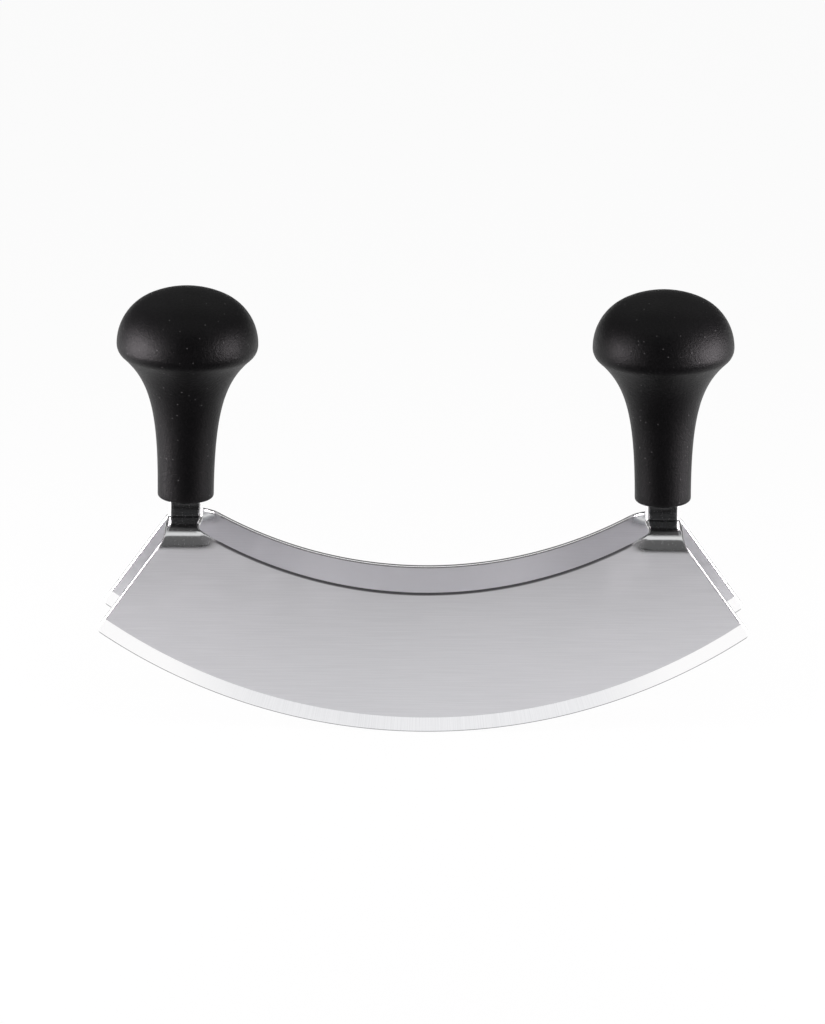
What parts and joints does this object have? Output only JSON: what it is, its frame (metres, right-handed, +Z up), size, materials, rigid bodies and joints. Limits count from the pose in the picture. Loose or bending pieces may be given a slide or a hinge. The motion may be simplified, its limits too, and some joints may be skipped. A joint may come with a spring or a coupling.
{
  "type": "mezzaluna",
  "caption": "Double-bladed rocking herb chopper: parallel curved steel blades joined by bent-in tangs, with an upright black knob handle at each end.",
  "frame": {"origin": "on the surface that the tool stands on, under its middle: the lowest point of the cutting edges, midway between the blades", "axes": "+X along the blades to the right, +Y from the front blade to the rear blade, +Z up towards the handles"},
  "size_m": [0.2302, 0.0496, 0.1583],
  "materials": {
    "blade_steel": "fine satin faces with a ground bevel and polished necks",
    "handle_plastic": "satin black, fine spark-eroded texture"
  },
  "bodies": {
    "root": {"front_blade": "blade_steel", "rear_blade": "blade_steel", "left_handle": "handle_plastic", "right_handle": "handle_plastic"}
  },
  "joints": []
}
